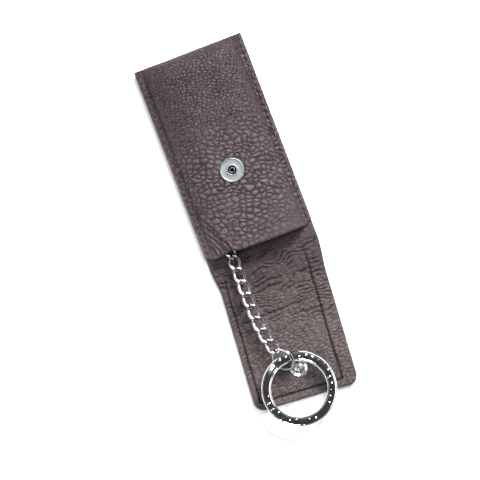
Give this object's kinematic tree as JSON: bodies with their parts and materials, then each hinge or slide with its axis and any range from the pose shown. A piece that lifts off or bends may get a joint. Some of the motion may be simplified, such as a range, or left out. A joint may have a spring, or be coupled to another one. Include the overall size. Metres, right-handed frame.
{
  "type": "key case",
  "caption": "Slim leather pouch for keys with a fold-over flap, a press stud, and a short chain carrying a flat split ring.",
  "frame": {"origin": "middle of the pouch's mouth, on the back face", "axes": "+Y to the closed end of the pouch, +Z out of the front, +X to the right seen from the front"},
  "size_m": [0.0481, 0.1559, 0.0112],
  "materials": {
    "leather": "pebbled",
    "lining": "pebbled",
    "thread": "matt",
    "snap_metal": "polished nickel",
    "spring_steel": "bright",
    "chain_metal": "polished nickel",
    "ring_metal": "polished nickel"
  },
  "bodies": {
    "pouch": {"back_panel": "leather", "back_lining": "lining", "front_panel": "leather", "front_lining": "lining", "left_seam_stitches": "thread", "right_seam_stitches": "thread", "snap_socket": "snap_metal", "socket_spring": "spring_steel", "socket_post": "snap_metal", "fold_leather": "leather", "fold_lining": "lining", "chain_tab": "leather"},
    "flap": {"flap_panel": "leather", "flap_lining": "lining", "snap_stud": "snap_metal", "stud_cap": "snap_metal"},
    "chain_link_01": {"chain_link_01": "chain_metal"},
    "chain_link_02": {"chain_link_02": "chain_metal"},
    "chain_link_03": {"chain_link_03": "chain_metal"},
    "chain_link_04": {"chain_link_04": "chain_metal"},
    "chain_link_05": {"chain_link_05": "chain_metal"},
    "chain_link_06": {"chain_link_06": "chain_metal"},
    "chain_link_07": {"chain_link_07": "chain_metal"},
    "chain_link_08": {"chain_link_08": "chain_metal"},
    "chain_link_09": {"chain_link_09": "chain_metal"},
    "chain_link_10": {"chain_link_10": "chain_metal"},
    "chain_link_11": {"chain_link_11": "chain_metal"},
    "jump_ring": {"jump_ring": "chain_metal"},
    "key_ring": {"key_ring": "ring_metal"}
  },
  "joints": [
    {"name": "flap_fold", "type": "hinge", "parent": "pouch", "child": "flap", "pos_m": [0, -0.0112, 0.00692], "axis": [-0.9993, 0.0384, 0], "range_deg": [0, 180], "deforming": ["fold_leather", "fold_lining"]},
    {"name": "link_01_turn", "type": "hinge", "parent": "pouch", "child": "chain_link_01", "pos_m": [-0.0122, 0.0137, 0.0043], "axis": [0, 0, 1], "range_deg": [-4, 4]},
    {"name": "link_02_turn", "type": "hinge", "parent": "chain_link_01", "child": "chain_link_02", "pos_m": [-0.0122, 0.0087, 0.0043], "axis": [0, 0, -1], "range_deg": [-4, 4]},
    {"name": "link_03_turn", "type": "hinge", "parent": "chain_link_02", "child": "chain_link_03", "pos_m": [-0.0122, 0.0035, 0.0043], "axis": [0, 0, 1], "range_deg": [-4, 4]},
    {"name": "link_04_turn", "type": "hinge", "parent": "chain_link_03", "child": "chain_link_04", "pos_m": [-0.0122, -0.0017, 0.0043], "axis": [0, 0, -1], "range_deg": [-4, 4]},
    {"name": "link_05_turn", "type": "hinge", "parent": "chain_link_04", "child": "chain_link_05", "pos_m": [-0.0122, -0.0069, 0.0043], "axis": [0, 0, 1], "range_deg": [-4, 4]},
    {"name": "chain_swing", "type": "hinge", "parent": "flap", "child": "chain_link_06", "pos_m": [-0.0122, -0.0121, 0.007], "axis": [0, 0, -1], "range_deg": [-2, 106]},
    {"name": "link_07_lift", "type": "hinge", "parent": "chain_link_06", "child": "chain_link_07", "pos_m": [-0.0122, -0.0173, 0.007], "axis": [-1, 0, 0], "range_deg": [0, 14]},
    {"name": "link_08_lift", "type": "hinge", "parent": "chain_link_07", "child": "chain_link_08", "pos_m": [-0.0122, -0.0225, 0.007], "axis": [-1, 0, 0], "range_deg": [0, 14]},
    {"name": "link_09_lift", "type": "hinge", "parent": "chain_link_08", "child": "chain_link_09", "pos_m": [-0.0122, -0.0277, 0.007], "axis": [-0.9959, -0.0906, 0], "range_deg": [0, 14]},
    {"name": "link_10_lift", "type": "hinge", "parent": "chain_link_09", "child": "chain_link_10", "pos_m": [-0.01173, -0.03288, 0.007], "axis": [-0.9836, -0.1805, 0], "range_deg": [0, 14]},
    {"name": "link_11_lift", "type": "hinge", "parent": "chain_link_10", "child": "chain_link_11", "pos_m": [-0.01079, -0.03799, 0.007], "axis": [-0.9632, -0.2689, 0], "range_deg": [0, 14]},
    {"name": "jump_ring_lift", "type": "hinge", "parent": "chain_link_11", "child": "jump_ring", "pos_m": [-0.00939, -0.043, 0.007], "axis": [-0.9348, -0.3551, 0], "range_deg": [0, 20]},
    {"name": "key_ring_lift", "type": "hinge", "parent": "jump_ring", "child": "key_ring", "pos_m": [-0.00795, -0.04692, 0.007], "axis": [0.9903, 0.1392, 0], "range_deg": [-90, 0]}
  ],
  "couplings": [
    {"joint": "chain_swing", "follows": "flap_fold", "ratio": 0.57}
  ]
}
